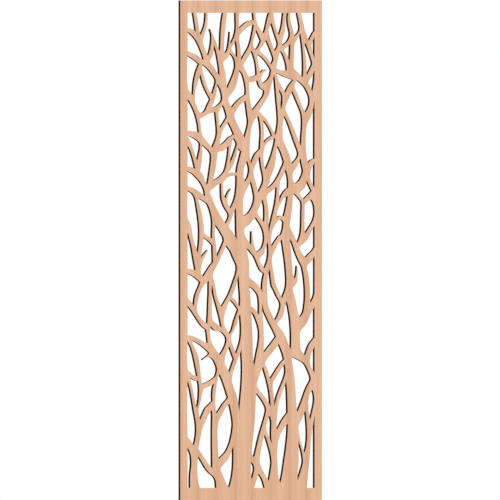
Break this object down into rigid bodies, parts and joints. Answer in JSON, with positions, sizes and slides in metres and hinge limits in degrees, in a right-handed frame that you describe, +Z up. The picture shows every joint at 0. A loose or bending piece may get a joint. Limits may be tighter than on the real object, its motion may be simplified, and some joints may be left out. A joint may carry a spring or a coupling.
{
  "type": "fretwork panel",
  "caption": "Tall flat fretwork panel of veneered board, cut right through with interlacing branches inside a plain straight border.",
  "frame": {"origin": "middle of the bottom edge, halfway through the thickness", "axes": "+Z up along the height, +X to the right seen from the front, the front face looks to -Y"},
  "size_m": [0.6, 0.022, 2],
  "materials": {
    "face_veneer": "pale pinkish beech, matt, upright grain, cut edges burnt dark brown",
    "crossband": "bare wood, grain across the panel, cut edges burnt dark brown",
    "core": "bare wood, upright grain, cut edges burnt dark brown"
  },
  "bodies": {
    "root": {"front_veneer_left": "face_veneer", "front_veneer_centre": "face_veneer", "front_veneer_right": "face_veneer", "front_crossband": "crossband", "core": "core", "back_crossband": "crossband", "back_veneer_left": "face_veneer", "back_veneer_centre": "face_veneer", "back_veneer_right": "face_veneer"}
  },
  "joints": []
}
